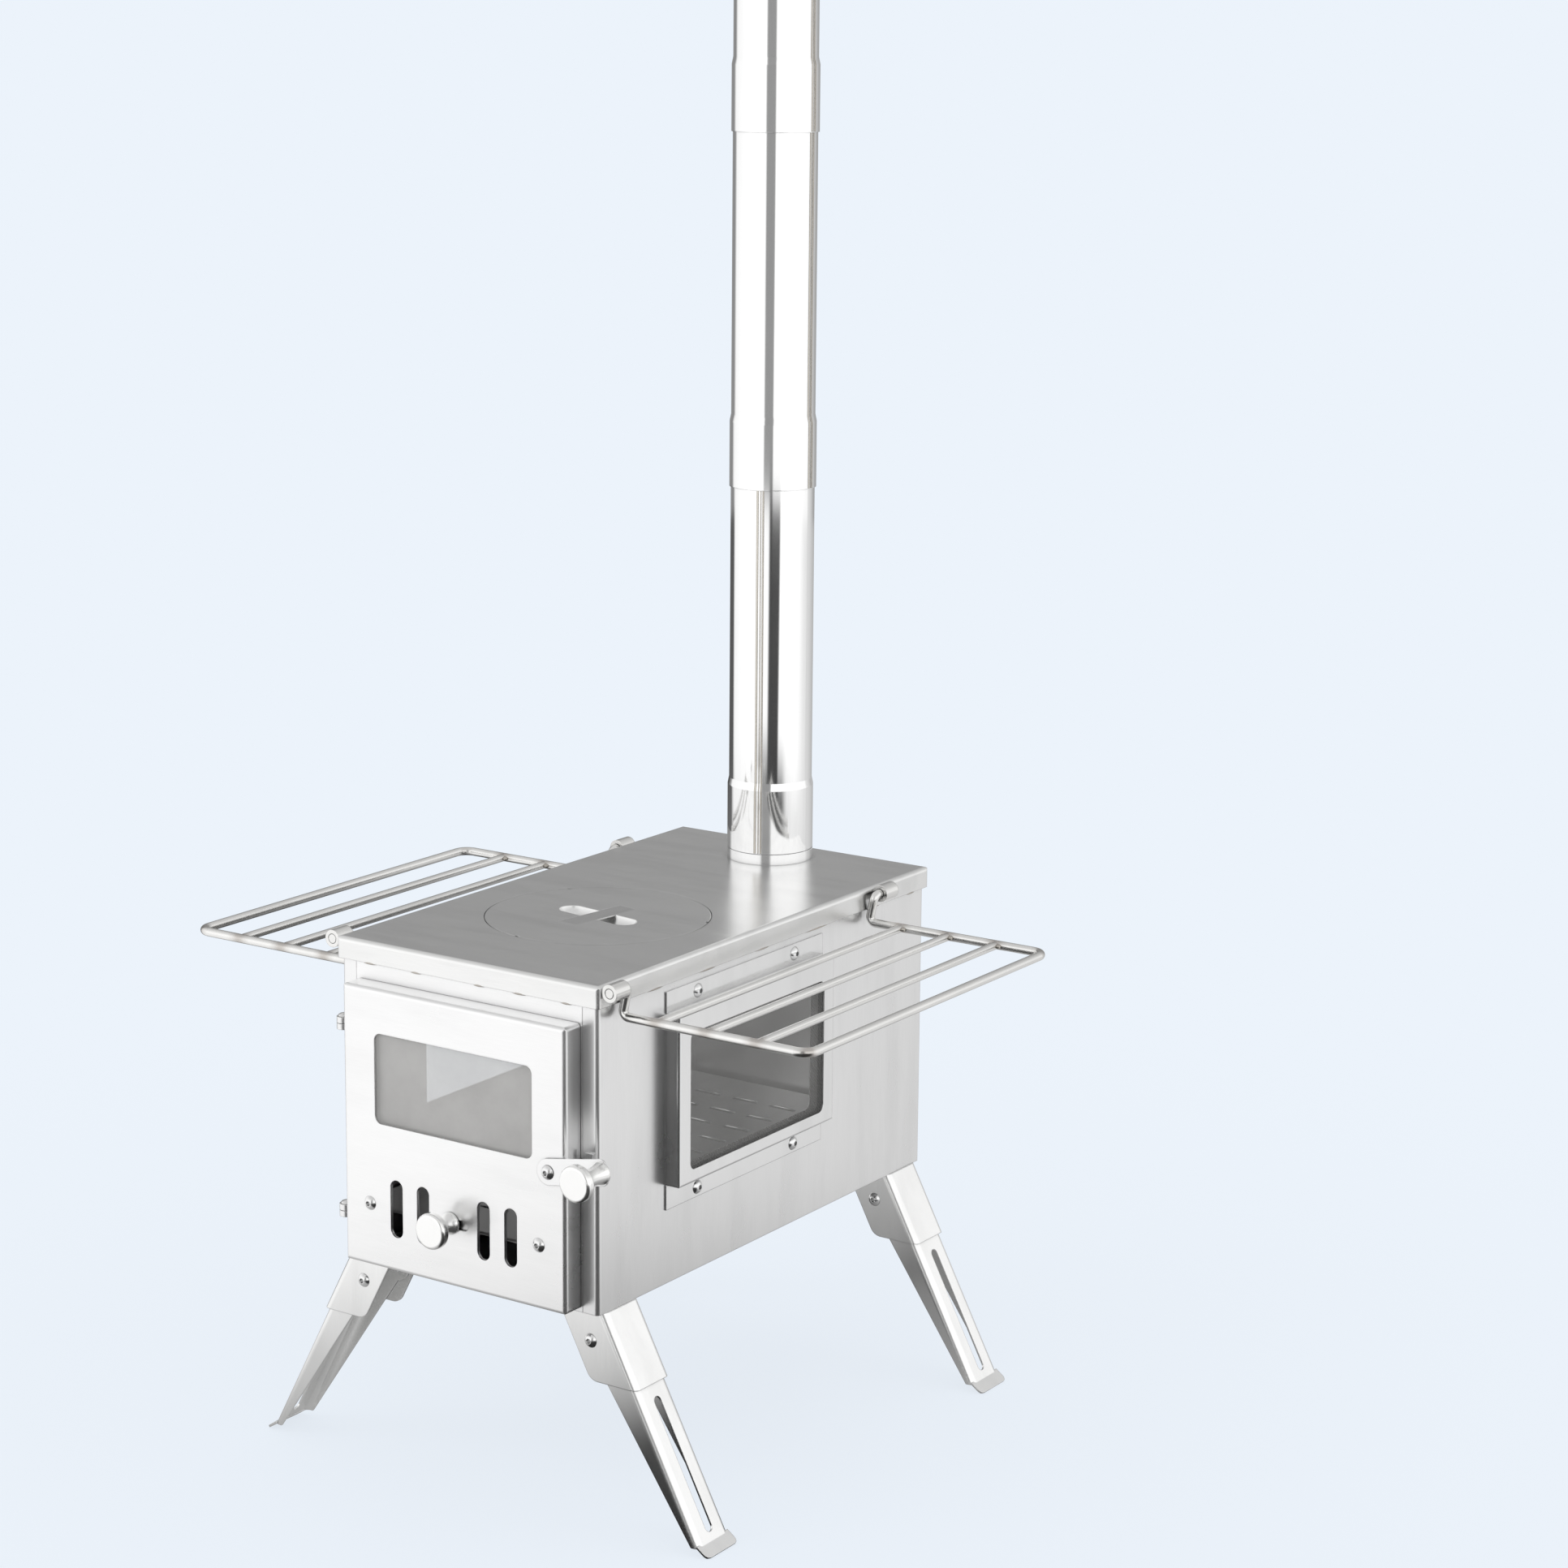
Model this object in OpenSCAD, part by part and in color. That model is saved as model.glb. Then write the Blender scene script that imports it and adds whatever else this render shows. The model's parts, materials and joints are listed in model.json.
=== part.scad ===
// Tent wood stove: a folded sheet steel firebox on four folding legs, with a
// glazed door, two side windows, a lift-out burner lid, two folding wire
// shelves and a sectional flue pipe.
// Millimetres. Z is up, X is to the right, Y is to the back, and the stove
// stands on z = 0.

/* [Body] */
// Body width over the side walls
body_w = 206; // [190:1:240]
// Body depth over the front and rear panels
body_d = 377; // [350:1:450]
// Body height without the top plate
body_h = 212; // [195:1:250]
// Height of the body above the ground
body_z = 144; // [130:0.5:165]
// Body sheet thickness
sheet = 1.2; // [0.8:0.1:1.6]
// Outside radius of the bends in the body sheet
bend_r = 3; // [2:0.1:5]
// Width of the wall returns beside the front and rear panels
return_w = 12; // [8:0.5:14]
// Height of the upturned edge of the floor
floor_edge = 10; // [6:0.5:14]

/* [Top plate] */
// Top plate thickness
top_t = 1.5; // [1.2:0.1:2.5]
// Overhang of the top plate past the body
top_over = 2.6; // [2:0.1:4]
// Height of the downturned edge
top_edge = 14.3; // [9:0.1:16]
// Burner lid diameter
lid_d = 149; // [120:1:160]
// Burner lid centre, forward of the middle of the body
lid_y = 51.5; // [40:0.5:56]
// Width of the burner seat inside the lid's edge
seat_in = 8; // [5:0.5:14]
// Width of the burner seat outside the lid's edge
seat_out = 7; // [5:0.5:10]

/* [Burner lid] */
// Length of the finger recess
grip_len = 66; // [50:1:80]
// Width of the finger recess
grip_w = 17.5; // [16:0.5:24]
// Depth of the finger recess
grip_deep = 6; // [4:0.5:7]
// Turn of the recess and the strap away from the middle line
grip_turn = 8; // [0:1:20]
// Length of the strap across the recess
strap_len = 56; // [40:1:75]
// Width of the strap across the recess
strap_w = 15; // [8:0.5:18]
// Sheet left under the ends of the strap
strap_under = 0.4; // [0.3:0.05:0.5]
// Width of the notches in the lid's edge
notch_w = 3; // [2:0.5:5]

/* [Flue] */
// Outside diameter of the pipe
pipe_d = 58; // [50:1:64]
// Pipe wall
pipe_t = 0.7; // [0.5:0.1:1]
// Height that the lower pipe section adds
lower_rise = 255; // [180:1:320]
// Height that the middle pipe section adds
middle_rise = 242; // [180:1:320]
// Height that the upper pipe section adds
upper_rise = 255; // [180:1:320]
// Depth of the socket at a section's lower end
socket_h = 45; // [30:1:60]
// Height of the taper above the socket
taper_h = 5; // [4:0.5:8]
// Height of the shoulder ring on the top plate
collar_h = 7.5; // [4:0.5:12]
// Depth of the outlet tube below the top plate
outlet_h = 8; // [5:0.5:15]
// Flue centre, in front of the body's rear
flue_in = 36.5; // [34.5:0.5:44]
// Flue centre, right of the middle of the body
flue_x = -2; // [-6:0.5:6]

/* [Door] */
// Width of the body beside the door
door_side = 13.5; // [13:0.5:15]
// Lower edge of the door above the body's lower edge
door_low = 2.2; // [1:0.1:6]
// Upper edge of the door below the body's upper edge
door_above = 24.3; // [23.8:0.1:28]
// Door depth
door_deep = 15.5; // [14:0.5:20]
// Outside radius of the door's bends
door_bend = 2.6; // [2:0.1:4]
// Width of the door beside its window
pane_side = 26; // [22:0.5:34]
// Height of the door above its window
pane_above = 28.85; // [28:0.05:34]
// Height of the door below its window
pane_below = 96.65; // [94:0.05:110]
// Corner radius of the window openings
pane_r = 5; // [3:0.5:8]
// Thickness of the glass
glass_t = 4; // [3:0.5:5]
// Cover of the door glass past its opening
pane_cover = 7.5; // [6:0.5:8]
// Thickness of the rope gasket behind the door glass
rope_t = 2.5; // [2:0.5:3]

/* [Air slide] */
// Width of an air slot
slot_w = 10; // [6:0.1:10.2]
// Height of an air slot
slot_h = 38.5; // [28:0.5:40]
// Distance between the two slots of a pair
slot_pitch = 21.8; // [21.4:0.1:23]
// Distance from the door's middle to each pair, as a share of the door's width
slot_share = 0.198; // [0.196:0.001:0.202]
// Lower end of the slots above the door's lower edge
slot_low = 22.9; // [18:0.1:26]
// Travel of the slide from open to closed
slide_run = 10.8; // [10.4:0.1:11]
// Distance from the middle of each pair to its guide screw
guide_past = 33; // [32:0.5:34.5]
// Distance of the open slide's knob from the door's middle
slide_knob_x = -2; // [-3:0.5:0]
// Slide plate thickness
slide_t = 1; // [0.8:0.1:1.5]

/* [Latch] */
// Distance from the latch pivot to the door's edge
latch_in = 12.2; // [10.5:0.1:13.5]
// Latch pivot above the body's lower edge
latch_z = 94; // [88:0.5:98]
// Upward tilt of the latch
latch_tilt = 10.5; // [0:0.1:14]
// Distance from the latch pivot to its knob
latch_len = 42; // [38:0.5:46]
// Half width of the latch
latch_r = 8.5; // [8:0.1:9.5]
// Distance from the latch pivot to the catch stud
catch_out = 20; // [19:0.1:20.5]
// Catch stud radius
catch_r = 2.5; // [2:0.1:3]
// Latch plate thickness
latch_t = 1.5; // [1:0.1:2.5]

/* [Knobs] */
// Knob head radius
knob_r = 11.8; // [9:0.1:12.5]
// Length of the air slide's knob
slide_knob_h = 21.5; // [18:0.5:24]
// Length of the latch's knob
latch_knob_h = 28; // [22:0.5:30]
// Radius of the knob's foot
knob_foot = 7.3; // [6:0.1:8.3]
// Radius of the knob's neck
knob_neck = 5.6; // [4:0.1:6]
// Thickness of the knob's head
knob_head = 7; // [5:0.5:9]

/* [Door hinge] */
// Hinge axis outside the door's edge
hinge_out = 5.5; // [5.3:0.1:6]
// Hinge axis in front of the body
hinge_front = 8.5; // [8:0.1:9.5]
// Hinge barrel radius
barrel_r = 4.5; // [4:0.1:4.8]
// Hinge barrel height
barrel_h = 4; // [3.5:0.5:12]
// Hinge pin radius
pin_r = 2; // [1.5:0.1:2.4]
// Lower hinge above the body's lower edge
hinge_low = 28.7; // [20:0.1:40]
// Upper hinge below the door's upper edge
hinge_down = 33; // [25:0.5:45]
// Thickness of the hinge arms
hinge_t = 2; // [1.5:0.1:3]

/* [Side windows] */
// Window opening behind the body's front
win_front = 83; // [78:0.5:95]
// Window opening in front of the body's rear
win_rear = 141; // [136:0.5:160]
// Window opening above the body's lower edge
win_under = 74.5; // [74:0.5:84]
// Window opening below the body's upper edge
win_over = 46.5; // [46:0.5:56]
// Width of the bezel's sides
win_side = 12.5; // [9:0.5:14]
// Width of the bezel's lower border
win_below = 9; // [7:0.5:10]
// Width of the bezel's upper border
win_above = 14.5; // [9:0.5:15]
// Depth of the bezel
bezel_deep = 11; // [9.5:0.5:14]
// Bezel sheet thickness
bezel_t = 1; // [0.8:0.1:1.4]
// Height of the bezel's upper mounting edge
bezel_edge = 13.5; // [12:0.5:13.5]
// Height of the bezel's lower mounting edge
bezel_foot = 16; // [12:0.5:18]
// Distance from the mounting edges' outer side to the screws
bezel_screw_in = 6.5; // [5.5:0.5:7]
// Distance from the screws to the sides of the window opening
bezel_screw_side = 21.5; // [10:0.5:35]

/* [Screws] */
// Screw head radius
head_r = 4.75; // [4:0.05:5.2]
// Screw head height
head_h = 2.75; // [2:0.05:3.2]
// Screw shank radius
shank_r = 2; // [1.5:0.1:2.2]
// Hexagon socket radius
socket_r = 1.75; // [1.2:0.05:2]

/* [Grate] */
// Top of the grate above the body's lower edge
grate_z = 33.5; // [20:0.5:34.5]
// Grate thickness
grate_t = 1.5; // [1.2:0.1:2]
// Gap between the grate and the side walls
grate_side = 4; // [2.5:0.5:8]
// Gap between the grate and the front and rear panels
grate_end = 4; // [2:0.5:10]
// Length of a grate slot
bar_slot = 22.5; // [15:0.5:24]
// Width of a grate slot
bar_slot_w = 3; // [2:0.5:5]
// Distance between grate slots along X
bar_pitch_x = 32; // [28:0.5:36]
// Distance between rows of grate slots
bar_pitch_y = 28.6; // [20:0.1:35]

/* [Legs] */
// Lean of the legs from upright
leg_tilt = 28; // [20:0.5:30]
// Distance from the leg pivot to the side of the body
leg_in = 10; // [8:0.5:15]
// Leg pivot below the body
leg_drop = 19.5; // [18.5:0.5:22]
// Outside width of the leg channel
leg_w = 33; // [28:0.5:40]
// Thickness of the leg and bracket sheet
leg_t = 1.5; // [1.2:0.1:2]
// Distance from the pivot to the leg's outer face
leg_face = 17; // [15:0.5:17]
// Radius of the leg round its pivot
leg_eye = 10; // [8:0.5:12]
// Width of the leg's flange at the ground
leg_toe = 5; // [4:0.5:5.5]
// Width of the leg's flange at the pivot
leg_top = 23; // [20:0.5:24]
// Length of the foot pad
pad_len = 9; // [8:0.5:14]
// Slope of the foot pad
pad_tilt = 35; // [25:1:40]
// Width of the slot in the leg
leg_slot_w = 7; // [4:0.5:12]
// Upper end of the leg slot below the pivot
leg_slot_top = 48; // [40:1:60]
// Lower end of the leg slot above the foot
leg_slot_low = 12; // [8:1:30]
// Width of the bracket's flange
bracket_deep = 31.5; // [28:0.5:34]
// Height of the bracket
bracket_h = 46; // [40:0.5:52]
// Rounding of the bracket's lower corner
bracket_r = 9; // [5:0.5:10]
// Middle of the front legs behind the body's front
front_leg_in = 23.5; // [23:0.5:40]
// Middle of the rear legs in front of the body's rear
rear_leg_in = 24; // [23:0.5:40]

/* [Shelves] */
// Shelf rod radius
rod_r = 3; // [2.5:0.1:3.3]
// Cross rod radius
bar_r = 2.7; // [2:0.1:2.8]
// Shelf reach past the body
shelf_reach = 142.5; // [125:0.5:170]
// Depth of the body that the arms of a shelf leave free
shelf_free = 95.5; // [95:0.5:130]
// Distance between the cross rods
shelf_pitch = 37.3; // [30:0.1:42]
// Middle of the shelf eyes, forward of the middle of the body
shelf_y = 27.5; // [10:0.5:28]
// Backward shift of the right shelf in its eyes
right_shift = -1; // [-1:0.5:1]
// Backward shift of the left shelf in its eyes
left_shift = -1; // [-1:0.5:1]
// Shelf height below the eyes
shelf_drop = 19.2; // [18:0.1:22]
// Outside radius of a shelf eye
eye_r = 5.8; // [5.5:0.1:6.2]
// Length of a shelf eye
eye_len = 14.5; // [10:0.5:15]
// Height of the eyes' tops above the top plate
eye_rise = 2; // [0:0.1:2.5]
// Radius of the shelf's corners
shelf_corner = 9; // [7:0.5:14]
// Radius of the bends beside the eyes
hook_bend = 4; // [3.5:0.5:4]

/* [Clearances] */
// Gap between pieces that move against each other
run_gap = 0.3; // [0.2:0.05:0.4]
// Gap round a turning shaft
shaft_gap = 0.1; // [0.05:0.01:0.1]
// Gap round the burner lid
lid_gap = 0.6; // [0.3:0.05:0.8]
// Gap at a welded seam
seam = 0.1; // [0.05:0.01:0.15]

/* [Hidden] */
steel = [0.8, 0.8, 0.8];
plate_grey = [0.6, 0.6, 0.6];
pipe_steel = [0.88, 0.88, 0.88];
pane_clear = [0.75, 0.8, 0.82];
rope_dark = [0.15, 0.15, 0.15];
bolt_steel = [0.7, 0.7, 0.72];
over = 1;
overlap = 0.5;

half_w = body_w / 2;
half_d = body_d / 2;
top_under = body_z + body_h;
top_z = top_under + top_t;
wall_h = body_h - run_gap;
inner_w = body_w - 2 * sheet;
inner_d = body_d - 2 * sheet;
plate_w = body_w + 2 * top_over;
plate_d = body_d + 2 * top_over;

lid_r = lid_d / 2;
lid_t = top_t - run_gap;
seat_z = top_under - top_t;
notch_deep = notch_w / 2;
notch_turns = [22, 142, 262];
grip_axis = (grip_w * grip_w / 4 - grip_deep * grip_deep) / (2 * grip_deep);
grip_ball = grip_axis + grip_deep;
strap_t = lid_t - strap_under;
strap_gap = 0.1;

pipe_r = pipe_d / 2;
bore_r = pipe_r - pipe_t;
socket_in = pipe_r + run_gap;
socket_out = socket_in + pipe_t;
flue_y = half_d - flue_in;
flue_z = top_z + collar_h + run_gap;
flue_middle_z = flue_z + lower_rise;
flue_upper_z = flue_middle_z + middle_rise;

door_back = half_d + run_gap;
door_front = door_back + door_deep;
door_w = body_w - 2 * door_side;
door_h = body_h - door_low - door_above;
door_mid_z = body_z + door_low + door_h / 2;
opening_edge = 11.5;
opening_w = door_w - 2 * opening_edge;
opening_h = door_h - 2 * opening_edge;
pane_w = door_w - 2 * pane_side;
pane_h = door_h - pane_above - pane_below;
pane_z = door_mid_z + (pane_below - pane_above) / 2;
door_inside = door_front - sheet;
cover_w = pane_w + 2 * pane_cover;
cover_h = pane_h + 2 * pane_cover;
rope_w = cover_w - 2 * (bend_r - sheet);
rope_h = cover_h - 2 * (bend_r - sheet);
clamp_deep = glass_t + rope_t + seam + sheet;

slot_z = body_z + door_low + slot_low + slot_h / 2;
slot_out = slot_share * door_w;
guide_out = slot_out + guide_past;
slot_xs = [for (side = [-1, 1], pair = [-1, 1])
    side * slot_out + pair * slot_pitch / 2];
slide_y = door_inside - run_gap;
slide_past = 6;
slide_over = 4;
slide_w = 2 * (guide_out + slide_past);
slide_h = slot_h + 2 * slide_over;
slide_stem = 3;
knob_base = 1.5;

latch_back = door_front + 2 * run_gap;
latch_front = latch_back + latch_t;
latch_pz = body_z + latch_z;
latch_past = 4;
latch_corner = 4;
latch_x = door_w / 2 - latch_in;
catch_x = latch_x + catch_out * cos(latch_tilt);
catch_z = latch_pz + catch_out * sin(latch_tilt);
catch_past = 2;
catch_plate_t = 1.5;
catch_plate_w = 6;
catch_plate_h = 16;
front_reach = latch_front + latch_knob_h;
frame_y = (front_reach - plate_d / 2) / 2;

hinge_x = door_w / 2 + hinge_out;
hinge_y = half_d + hinge_front;
hinge_high = door_low + door_h - hinge_down;

win_w = body_d - win_front - win_rear;
win_h = body_h - win_under - win_over;
win_y = (win_rear - win_front) / 2;
win_mid_z = body_z + win_under + win_h / 2;
bezel_w = win_w + 2 * win_side;
bezel_h = win_h + win_below + win_above;
bezel_up = (win_above - win_below) / 2;
bezel_top = bezel_up + bezel_h / 2;
bezel_low = bezel_up - bezel_h / 2;
bezel_screw = win_w / 2 - bezel_screw_side;
bezel_screw_z = [bezel_low - bezel_foot + bezel_screw_in,
    bezel_top + bezel_edge - bezel_screw_in];
hole_edge = 1;
wall_hole_w = win_w + 2 * hole_edge;
wall_hole_h = win_h + 2 * hole_edge;
bezel_bend = 2;
win_glass_w = bezel_w - 2 * bezel_bend;
win_glass_h = win_h + 2 * (win_below - bezel_bend);
gasket_t = bezel_deep - bezel_t - glass_t;
head_dome = (head_r * head_r + head_h * head_h) / (2 * head_h);

grate_w = inner_w - 2 * grate_side;
grate_d = inner_d - 2 * grate_end;
grate_top = body_z + grate_z;
grate_edge = grate_z - sheet;
slot_cols = floor((grate_w - bar_slot) / bar_pitch_x / 2);
slot_rows = floor((grate_d / 2 - bar_pitch_y / 2) / bar_pitch_y);

leg_x = half_w - leg_in;
front_leg_y = half_d - front_leg_in;
rear_leg_y = half_d - rear_leg_in;
pivot_z = body_z - leg_drop;
bracket_gap = run_gap + 0.1;
bracket_face = leg_face + bracket_gap + leg_t;
bracket_w = leg_w + 2 * run_gap + 2 * leg_t;
bracket_low = body_z - bracket_h;
bracket_in = bracket_face - bracket_deep;
channel_bend = 5;
channel_deep = 50;
leg_long = (pivot_z + leg_face * sin(leg_tilt)) / cos(leg_tilt);
pad_r = 4;
pad_flat = 0.7;
pad_under = leg_t * cos(pad_tilt);
pad_rise = pad_len * sin(pad_tilt) + pad_under - pad_flat;
foot_x = leg_x_at(leg_face, pad_rise);
nut_r = 4.4;
nut_h = 3;

eye_x = plate_w / 2 + eye_r;
eye_z = top_z + eye_rise - eye_r;
eye_bore = rod_r + run_gap;
eye_past = 5.5;
shelf_len = body_d - shelf_free;
eye_in = shelf_len / 2 + eye_past;
shelf_z = eye_z - shelf_drop;
shelf_end = half_w + shelf_reach;
hook_gap = 1.3;
hook_x = half_w + rod_r + hook_gap;
bar_in = 30.5;
bar_first = half_w + bar_in;
bend_under = 0.02;
bend_lap = 0.2;

$fn = 96;

// A point's X on a line that runs beside the leg: p is its distance from the
// pivot across the leg, z its height
function leg_x_at(p, z) =
    leg_x + p / cos(leg_tilt) + tan(leg_tilt) * (pivot_z - z);

function unit(v) = v / norm(v);

// Moves a piece from the middle of the body into the part's frame
module placed() {
    translate([0, frame_y, 0]) children();
}

module mirrored_left() {
    mirror([1, 0, 0]) children();
}

module round_rect(w, d, r) {
    square([w - 2 * r, d], center = true);
    square([w, d - 2 * r], center = true);
    for (x = [-1, 1], y = [-1, 1])
        translate([x * (w / 2 - r), y * (d / 2 - r)]) circle(r);
}

// A slot with round ends, w wide and h long along Y
module stadium(w, h) {
    square([w, h - w], center = true);
    for (y = [-1, 1])
        translate([0, y * (h - w) / 2]) circle(w / 2);
}

// Side view of a folded edge: upright sides with round upper corners
module folded_profile(w, h, r) {
    translate([-w / 2, 0]) square([w, h - r]);
    translate([r - w / 2, 0]) square([w - 2 * r, h]);
    for (x = [-1, 1])
        translate([x * (w / 2 - r), h - r]) circle(r);
}

// A block whose upper edges and upright corners are rounded like folds
module folded_block(w, d, h, r) {
    intersection() {
        linear_extrude(h) round_rect(w, d, r);
        rotate([90, 0, 0])
            translate([0, 0, -d]) linear_extrude(2 * d) folded_profile(w, h, r);
        rotate([90, 0, 90])
            translate([0, 0, -w]) linear_extrude(2 * w) folded_profile(d, h, r);
    }
}

// A pan of sheet t, its flat face at z = h and its open side at z = 0
module pan(w, d, h, t, r) {
    difference() {
        folded_block(w, d, h, r);
        translate([0, 0, -over])
            folded_block(w - 2 * t, d - 2 * t, h - t + over, r - t);
    }
}

// Turns a flat outline so that it stands in the X-Z plane, t thick, with its
// front face at y = 0
module standing(t) {
    translate([0, t, 0]) rotate([90, 0, 0]) linear_extrude(t) children();
}

// Turns a flat outline so that it stands in the Y-Z plane, t thick along +X
module standing_side(t) {
    rotate([90, 0, 90]) linear_extrude(t) children();
}

// A domed screw with a hexagon socket: head up from z = 0, shank down
module screw(shank) {
    difference() {
        union() {
            intersection() {
                translate([0, 0, head_h - head_dome]) sphere(head_dome);
                cylinder(h = head_h, r = head_r);
            }
            translate([0, 0, -shank]) cylinder(h = shank + overlap, r = shank_r);
        }
        translate([0, 0, head_h / 3])
            linear_extrude(head_h) circle(socket_r, $fn = 6);
    }
}

// A mushroom knob, its foot on z = 0
module knob(h) {
    rim = knob_head / 3;
    back = h - knob_head;
    half_neck = (back - knob_base) / 2;
    hollow = knob_foot - knob_neck;
    r = (half_neck * half_neck + hollow * hollow) / (2 * hollow);
    rotate_extrude() union() {
        difference() {
            square([knob_foot, back + rim]);
            translate([knob_neck + r, knob_base + half_neck]) circle(r);
        }
        polygon([
            [0, back - knob_base],
            [knob_neck, back - knob_base],
            [knob_r - rim, back + rim / 4],
            [0, back + rim / 4]
        ]);
        translate([0, back]) square([knob_r - rim, knob_head]);
        translate([0, back + rim]) square([knob_r, knob_head - 2 * rim]);
        translate([knob_r - rim, h - rim]) circle(rim);
        translate([knob_r - rim, back + rim]) circle(rim);
    }
}

// A straight piece of rod from a to b
module rod(a, b, r) {
    d = b - a;
    translate(a)
        rotate([0, acos(d.z / norm(d)), atan2(d.y, d.x)])
            cylinder(h = norm(d), r = r);
}

// The bend at the corner c between the points a and b. It is a hair thinner
// than the rod and reaches a little way into it at both ends
module rod_bend(a, c, b, bend, r) {
    u = unit(c - a);
    v = unit(b - c);
    turn = acos(u * v);
    n = unit(v - u * (u * v));
    w = cross(u, n);
    start = c - u * bend * tan(turn / 2);
    lap = bend_lap / bend * 180 / PI;
    aim = abs(n.z) < 0.9999
        ? [atan2(u.z, w.z), asin(n.z), atan2(-n.y, -n.x)]
        : [atan2(n.z * u.x, u.y), 90 * n.z, 0];
    translate(start + n * bend)
        rotate(aim)
            rotate(-lap) rotate_extrude(angle = turn + 2 * lap)
                translate([bend, 0]) circle(r - bend_under);
}

// A rod through the points, bent at each inner point with its own radius
module wire(points, bends, r) {
    last = len(points) - 1;
    cut = [for (i = [0 : last]) i == 0 || i == last ? 0 :
        bends[i] * tan(acos(unit(points[i] - points[i - 1])
            * unit(points[i + 1] - points[i])) / 2)];
    for (i = [0 : last - 1]) {
        d = unit(points[i + 1] - points[i]);
        rod(points[i] + d * cut[i], points[i + 1] - d * cut[i + 1], r);
    }
    for (i = [1 : last - 1])
        rod_bend(points[i - 1], points[i], points[i + 1], bends[i], r);
}

module top_plate() {
    color(plate_grey) placed() difference() {
        translate([0, 0, top_z - top_edge])
            pan(plate_w, plate_d, top_edge, top_t, bend_r);
        translate([0, -lid_y, top_under - over])
            cylinder(h = top_t + 2 * over, r = lid_r + lid_gap);
        translate([flue_x, flue_y, top_under - over])
            cylinder(h = top_t + 2 * over, r = pipe_r + seam);
    }
}

module burner_seat() {
    color(plate_grey) placed() translate([0, -lid_y, seat_z])
        rotate_extrude()
            translate([lid_r - seat_in, 0]) square([seat_in + seat_out, top_t]);
}

module flue_collar() {
    color(pipe_steel) placed() translate([flue_x, flue_y, top_z])
        rotate_extrude() polygon([
            [bore_r, -top_t - outlet_h],
            [pipe_r, -top_t - outlet_h],
            [pipe_r, 0],
            [socket_out, 0],
            [socket_out, collar_h],
            [pipe_r, collar_h],
            [pipe_r, collar_h + socket_h],
            [bore_r, collar_h + socket_h]
        ]);
}

// The body's plan as a thin ring, of which each wall keeps one side
module wrap_ring() {
    difference() {
        round_rect(body_w, body_d, bend_r);
        round_rect(inner_w, inner_d, bend_r - sheet);
    }
}

module bezel_screw_points() {
    for (y = [-1, 1], z = bezel_screw_z) translate([y * bezel_screw, z]) children();
}

module side_wall() {
    difference() {
        translate([0, 0, body_z]) linear_extrude(wall_h) intersection() {
            wrap_ring();
            translate([half_w - return_w, -body_d]) square([return_w, 2 * body_d]);
        }
        translate([half_w - return_w / 2, -win_y, win_mid_z])
            standing_side(return_w) {
                round_rect(wall_hole_w, wall_hole_h, pane_r);
                bezel_screw_points() circle(shank_r + seam);
            }
    }
}

module right_wall() {
    color(steel) placed() side_wall();
}

module left_wall() {
    color(steel) placed() mirrored_left() side_wall();
}

module end_panel() {
    standing(sheet) translate([return_w + seam - half_w, body_z])
        square([body_w - 2 * (return_w + seam), wall_h]);
}

module front_panel() {
    color(steel) placed() difference() {
        translate([0, -half_d, 0]) end_panel();
        translate([0, -half_d - over, door_mid_z])
            standing(sheet + 2 * over) round_rect(opening_w, opening_h, pane_r);
    }
}

module rear_panel() {
    color(steel) placed() translate([0, half_d - sheet, 0]) end_panel();
}

module floor_plate() {
    color(steel) placed() translate([0, 0, body_z + floor_edge]) mirror([0, 0, 1])
        pan(inner_w - 2 * seam, inner_d - 2 * seam, floor_edge, sheet, bend_r);
}

module fire_grate() {
    color(plate_grey) placed() difference() {
        translate([0, 0, grate_top - grate_edge]) difference() {
            folded_block(grate_w, grate_d, grate_edge, bend_r);
            translate([0, 0, -over]) rotate([90, 0, 0])
                translate([0, 0, -grate_d]) linear_extrude(2 * grate_d)
                    folded_profile(grate_w - 2 * grate_t,
                        grate_edge - grate_t + over, bend_r - grate_t);
        }
        translate([0, 0, grate_top - grate_t - over])
            linear_extrude(grate_t + 2 * over)
                for (i = [-slot_cols : slot_cols - 1], j = [-slot_rows : slot_rows])
                    translate([(i + 0.5) * bar_pitch_x, j * bar_pitch_y])
                        rotate(90) stadium(bar_slot_w, bar_slot);
    }
}

module window_bezel() {
    translate([half_w, -win_y, win_mid_z]) difference() {
        union() {
            translate([0, 0, bezel_up]) rotate([90, 0, 90])
                pan(bezel_w, bezel_h, bezel_deep, bezel_t, bezel_bend);
            standing_side(bezel_t) translate([-bezel_w / 2, 0]) {
                translate([0, bezel_top - overlap]) square([bezel_w, bezel_edge + overlap]);
                translate([0, bezel_low - bezel_foot]) square([bezel_w, bezel_foot + overlap]);
            }
        }
        translate([bezel_deep / 2, 0, 0]) standing_side(bezel_deep)
            round_rect(win_w, win_h, pane_r);
        translate([-over, 0, 0]) standing_side(bezel_t + 2 * over)
            bezel_screw_points() circle(shank_r + seam);
    }
}

module window_glass() {
    translate([half_w + gasket_t, -win_y, win_mid_z])
        standing_side(glass_t) round_rect(win_glass_w, win_glass_h, pane_r);
}

module window_gasket() {
    translate([half_w, -win_y, win_mid_z]) standing_side(gasket_t) difference() {
        round_rect(win_glass_w, win_glass_h, pane_r);
        round_rect(win_w, win_h, pane_r);
    }
}

module right_bezel() {
    color(steel) placed() window_bezel();
}

module left_bezel() {
    color(steel) placed() mirrored_left() window_bezel();
}

module right_glass() {
    color(pane_clear) placed() window_glass();
}

module left_glass() {
    color(pane_clear) placed() mirrored_left() window_glass();
}

module right_gasket() {
    color(rope_dark) placed() window_gasket();
}

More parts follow.
